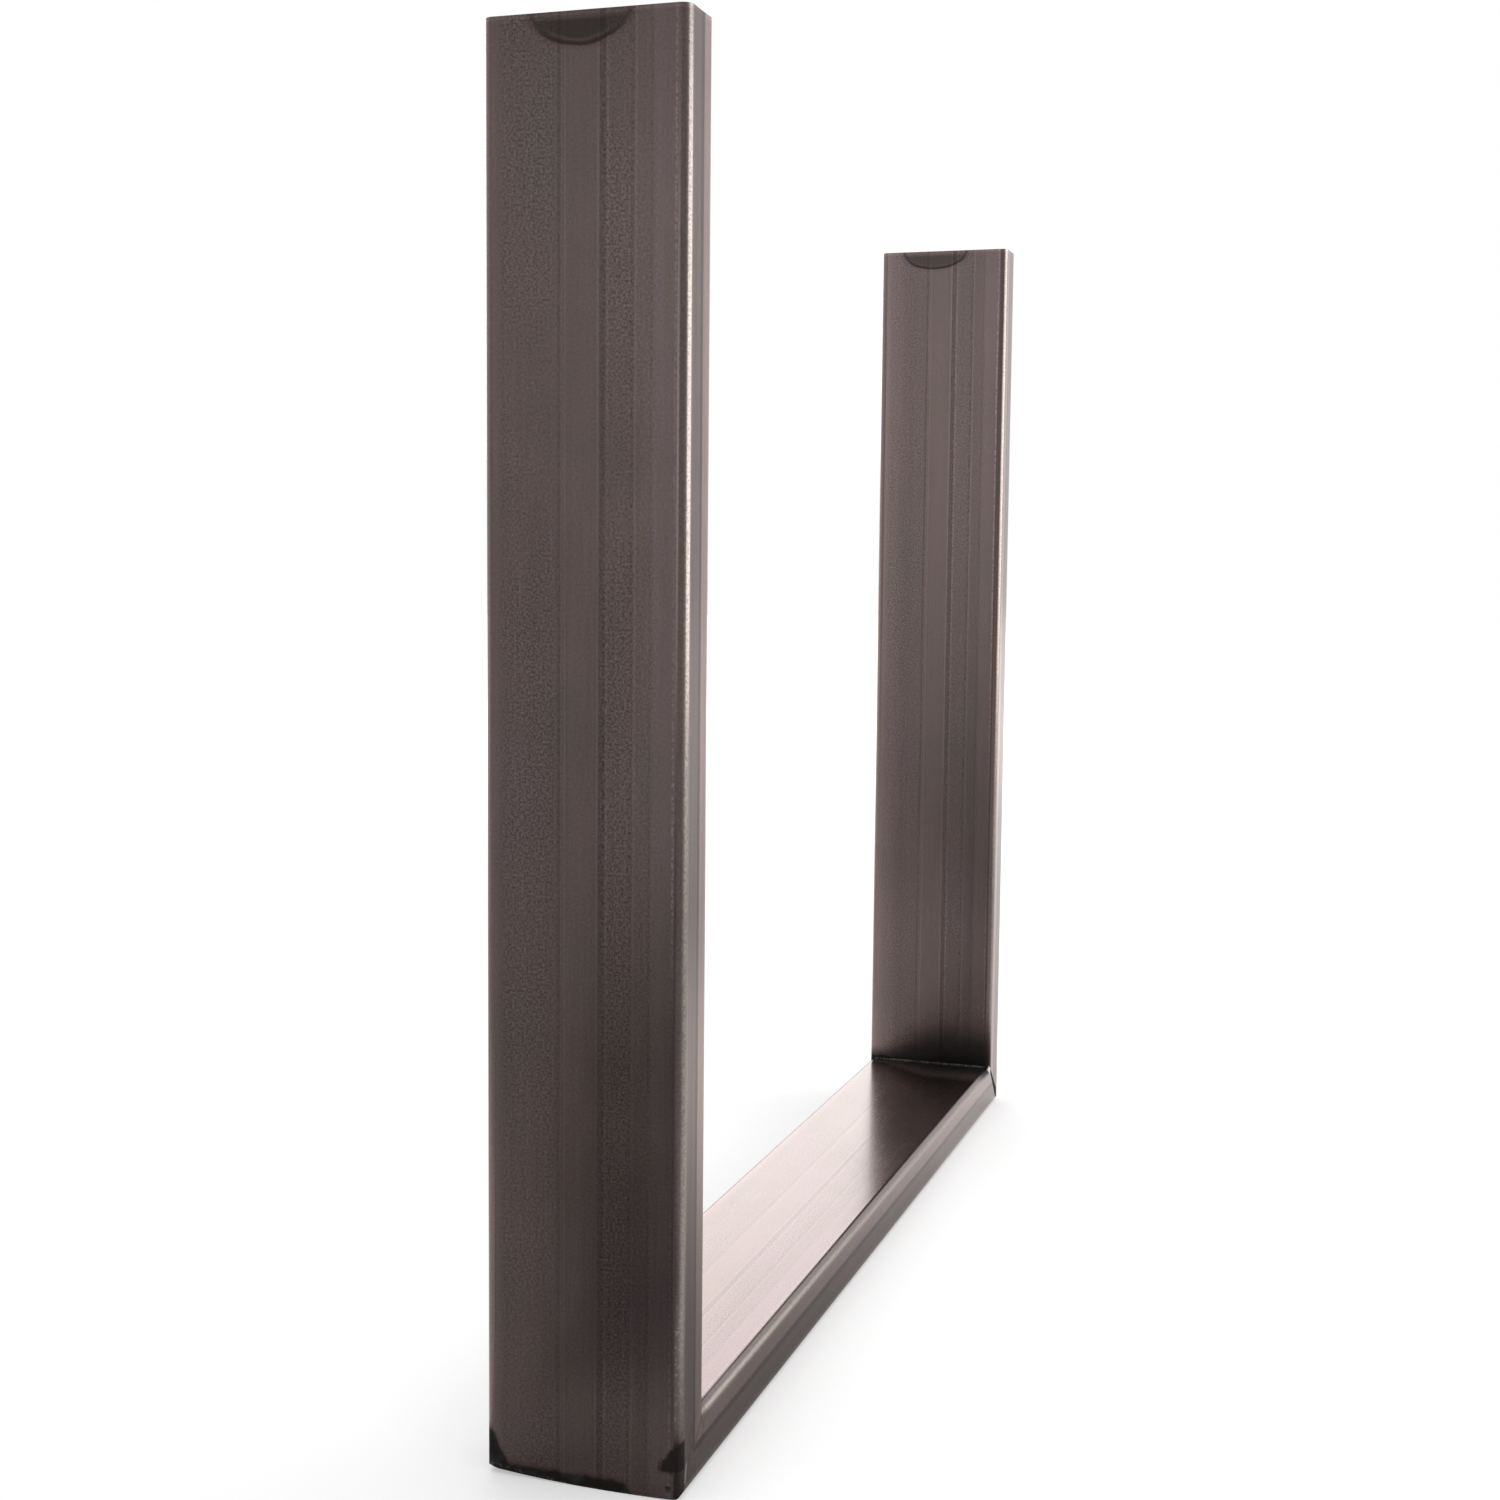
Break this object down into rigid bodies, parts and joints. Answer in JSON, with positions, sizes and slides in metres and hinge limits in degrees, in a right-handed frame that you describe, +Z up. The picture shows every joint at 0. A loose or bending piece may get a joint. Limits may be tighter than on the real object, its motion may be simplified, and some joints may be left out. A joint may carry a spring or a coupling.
{
  "type": "bench leg",
  "caption": "U-shaped bench leg of flat rectangular steel tube: uprights joined by a bottom rail in welded mitres, with tapped plates in the upper tube ends.",
  "frame": {"origin": "on the floor at the middle of the bottom rail's underside", "axes": "+X across the broad side of the tube, +Y along the bottom rail from the front upright to the rear one, +Z up"},
  "size_m": [0.06, 0.46, 0.41],
  "materials": {
    "tube_steel": "cold rolled tube surface under clear lacquer, with fine lines along the tube and heat marks at the welds",
    "weld_metal": "weld metal, dressed flush outside and left as laid inside the corner, under clear lacquer",
    "plate_steel": "bright drawn flat steel under clear lacquer"
  },
  "bodies": {
    "root": {"bottom_rail": "tube_steel", "front_upright": "tube_steel", "rear_upright": "tube_steel", "front_corner_weld": "weld_metal", "rear_corner_weld": "weld_metal", "front_top_plate": "plate_steel", "rear_top_plate": "plate_steel", "front_plate_outer_weld": "weld_metal", "front_plate_inner_weld": "weld_metal", "rear_plate_outer_weld": "weld_metal", "rear_plate_inner_weld": "weld_metal"}
  },
  "joints": []
}
